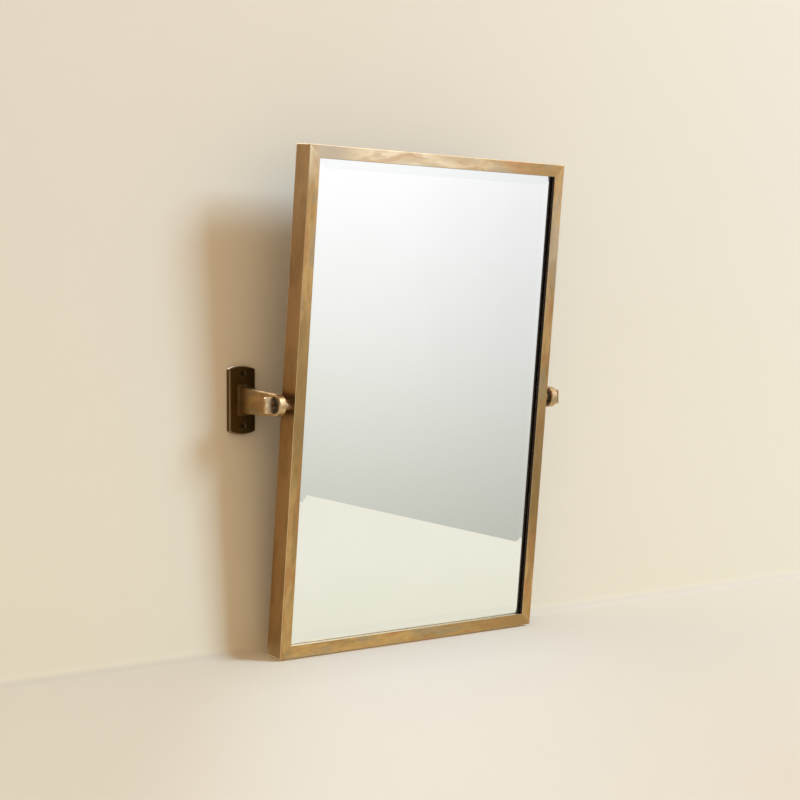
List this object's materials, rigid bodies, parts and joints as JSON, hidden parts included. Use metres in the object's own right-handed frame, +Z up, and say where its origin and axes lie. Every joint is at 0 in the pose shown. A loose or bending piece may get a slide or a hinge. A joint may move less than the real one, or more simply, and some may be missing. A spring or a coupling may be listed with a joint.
{
  "type": "pivot wall mirror",
  "caption": "Rectangular bevelled mirror in a mitred brass frame that tilts between two wall brackets with arched plates, tapered arms and paddle thumb screws.",
  "frame": {"origin": "on the wall plane, at the middle of the four wall screw holes, midway between the two wall plates", "axes": "+X to the right of a person who faces the mirror, +Y into the wall, +Z up"},
  "size_m": [0.5958, 0.1539, 0.7612],
  "materials": {
    "aged_brass": "antique satin",
    "dark_brass": "dark antique satin",
    "mirror_glass": "silvered and bevelled",
    "white_foam": "foam",
    "backing_board": "hardboard, painted black",
    "zinc_steel": "zinc plated",
    "plain_steel": "turned",
    "soft_rubber": "matte",
    "dark_fibre": "pressed fibre",
    "nylon": "moulded"
  },
  "bodies": {
    "wall_brackets": {"wall_plate_left": "dark_brass", "wall_plate_right": "dark_brass", "arm_left": "dark_brass", "arm_right": "dark_brass", "arm_screws_left": "plain_steel", "arm_screws_right": "plain_steel", "bushing_left": "nylon", "bushing_right": "nylon", "inner_washer_left": "dark_fibre", "inner_washer_right": "dark_fibre", "outer_washer_left": "dark_fibre", "outer_washer_right": "dark_fibre"},
    "mirror_frame": {"rail_top": "aged_brass", "rail_bottom": "aged_brass", "stile_left": "aged_brass", "stile_right": "aged_brass", "corner_keys": "zinc_steel", "mirror_glass": "mirror_glass", "foam_sheet": "white_foam", "backing_board": "backing_board", "retaining_clips": "zinc_steel", "clip_screws": "zinc_steel", "bumper_pads": "soft_rubber", "pivot_insert_left": "plain_steel", "pivot_insert_right": "plain_steel", "spacer_left": "aged_brass", "spacer_right": "aged_brass"},
    "left_screw": {"thumb_screw_left": "aged_brass"},
    "right_screw": {"thumb_screw_right": "aged_brass"}
  },
  "joints": [
    {"name": "mirror_tilt", "type": "hinge", "parent": "wall_brackets", "child": "mirror_frame", "pos_m": [0, -0.097, -0.005], "axis": [1, 0, 0], "range_deg": [-17.5, 5.5]},
    {"name": "left_screw_turn", "type": "hinge", "parent": "mirror_frame", "child": "left_screw", "pos_m": [-0.28, -0.097, -0.005], "axis": [-1, 0, 0], "range_deg": [0, 270]},
    {"name": "right_screw_turn", "type": "hinge", "parent": "mirror_frame", "child": "right_screw", "pos_m": [0.28, -0.097, -0.005], "axis": [1, 0, 0], "range_deg": [0, 270]}
  ]
}
